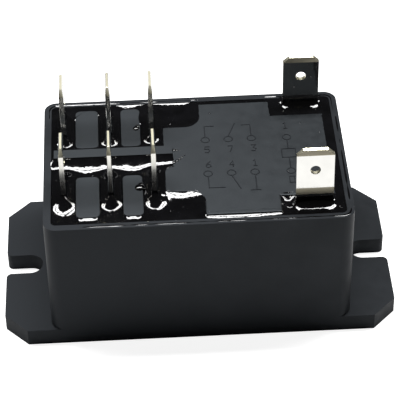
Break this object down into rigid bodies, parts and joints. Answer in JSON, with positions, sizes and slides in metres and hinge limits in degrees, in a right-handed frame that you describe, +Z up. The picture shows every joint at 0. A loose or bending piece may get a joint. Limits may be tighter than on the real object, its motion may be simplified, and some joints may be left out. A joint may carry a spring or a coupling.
{
  "type": "flange-mounted power relay",
  "caption": "Sealed black two-pole power relay with slotted mounting flanges, quick-connect tabs on its potted face and a hinged armature inside.",
  "frame": {"origin": "centre of the underside of the flanges, on the face that bears on the panel", "axes": "+X along the flanges towards the coil tabs, +Y across the flanges towards the back row of tabs, +Z up out of the terminal face"},
  "size_m": [0.0688, 0.0342, 0.0374],
  "materials": {
    "case_plastic": "moulded black plastic with a fine satin skin",
    "base_plastic": "moulded charcoal plastic, fine matte grain",
    "epoxy": "black epoxy with a wet gloss",
    "tinned_brass": "bright tin plating on brass",
    "contact_silver": "silver alloy on a copper shank",
    "blade_copper": "rolled copper alloy spring strip",
    "rivet_brass": "plain brass",
    "card_plastic": "ivory moulded plastic",
    "iron": "zinc-plated soft iron",
    "bobbin_plastic": "ivory moulded plastic",
    "coil_copper": "enamelled copper wire",
    "spring_steel": "drawn spring wire"
  },
  "bodies": {
    "root": {"case": "case_plastic", "base": "base_plastic", "potting": "epoxy", "nc_terminal_front": "tinned_brass", "nc_terminal_back": "tinned_brass", "com_terminal_front": "tinned_brass", "com_terminal_back": "tinned_brass", "no_terminal_front": "tinned_brass", "no_terminal_back": "tinned_brass", "coil_terminal_front": "tinned_brass", "coil_terminal_back": "tinned_brass", "nc_contact_front": "contact_silver", "nc_contact_back": "contact_silver", "no_contact_front": "contact_silver", "no_contact_back": "contact_silver", "blade_rivet_front": "rivet_brass", "blade_rivet_back": "rivet_brass", "yoke": "iron", "core": "iron", "bobbin": "bobbin_plastic", "winding": "coil_copper", "return_spring": "spring_steel", "coil_lead_front": "coil_copper", "coil_lead_back": "coil_copper"},
    "armature": {"armature": "iron"},
    "card": {"card": "card_plastic"},
    "blade_front": {"moving_blade_front": "blade_copper", "moving_contact_front": "contact_silver"},
    "blade_back": {"moving_blade_back": "blade_copper", "moving_contact_back": "contact_silver"}
  },
  "joints": [
    {"name": "armature_swing", "type": "hinge", "parent": "root", "child": "armature", "pos_m": [-0.0001, 0.00175, 0.019], "axis": [0, -1, 0], "range_deg": [0, 5.5], "stiffness_Nm_per_rad": 0.02, "springref_deg": -14.32, "deforming": ["return_spring"]},
    {"name": "card_slide", "type": "slide", "parent": "root", "child": "card", "axis": [1, 0, 0], "range_m": [0, 0.00147]},
    {"name": "blade_front_swing", "type": "hinge", "parent": "root", "child": "blade_front", "pos_m": [-0.0154, -0.00625, 0.0203], "axis": [0, -1, 0], "range_deg": [0, 5.09]},
    {"name": "blade_back_swing", "type": "hinge", "parent": "root", "child": "blade_back", "pos_m": [-0.0154, 0.00975, 0.0203], "axis": [0, -1, 0], "range_deg": [0, 5.09]}
  ],
  "couplings": [
    {"joint": "card_slide", "follows": "armature_swing", "m_per_rad": 0.015285},
    {"joint": "blade_front_swing", "follows": "armature_swing", "ratio": 0.92396},
    {"joint": "blade_back_swing", "follows": "armature_swing", "ratio": 0.92396}
  ]
}
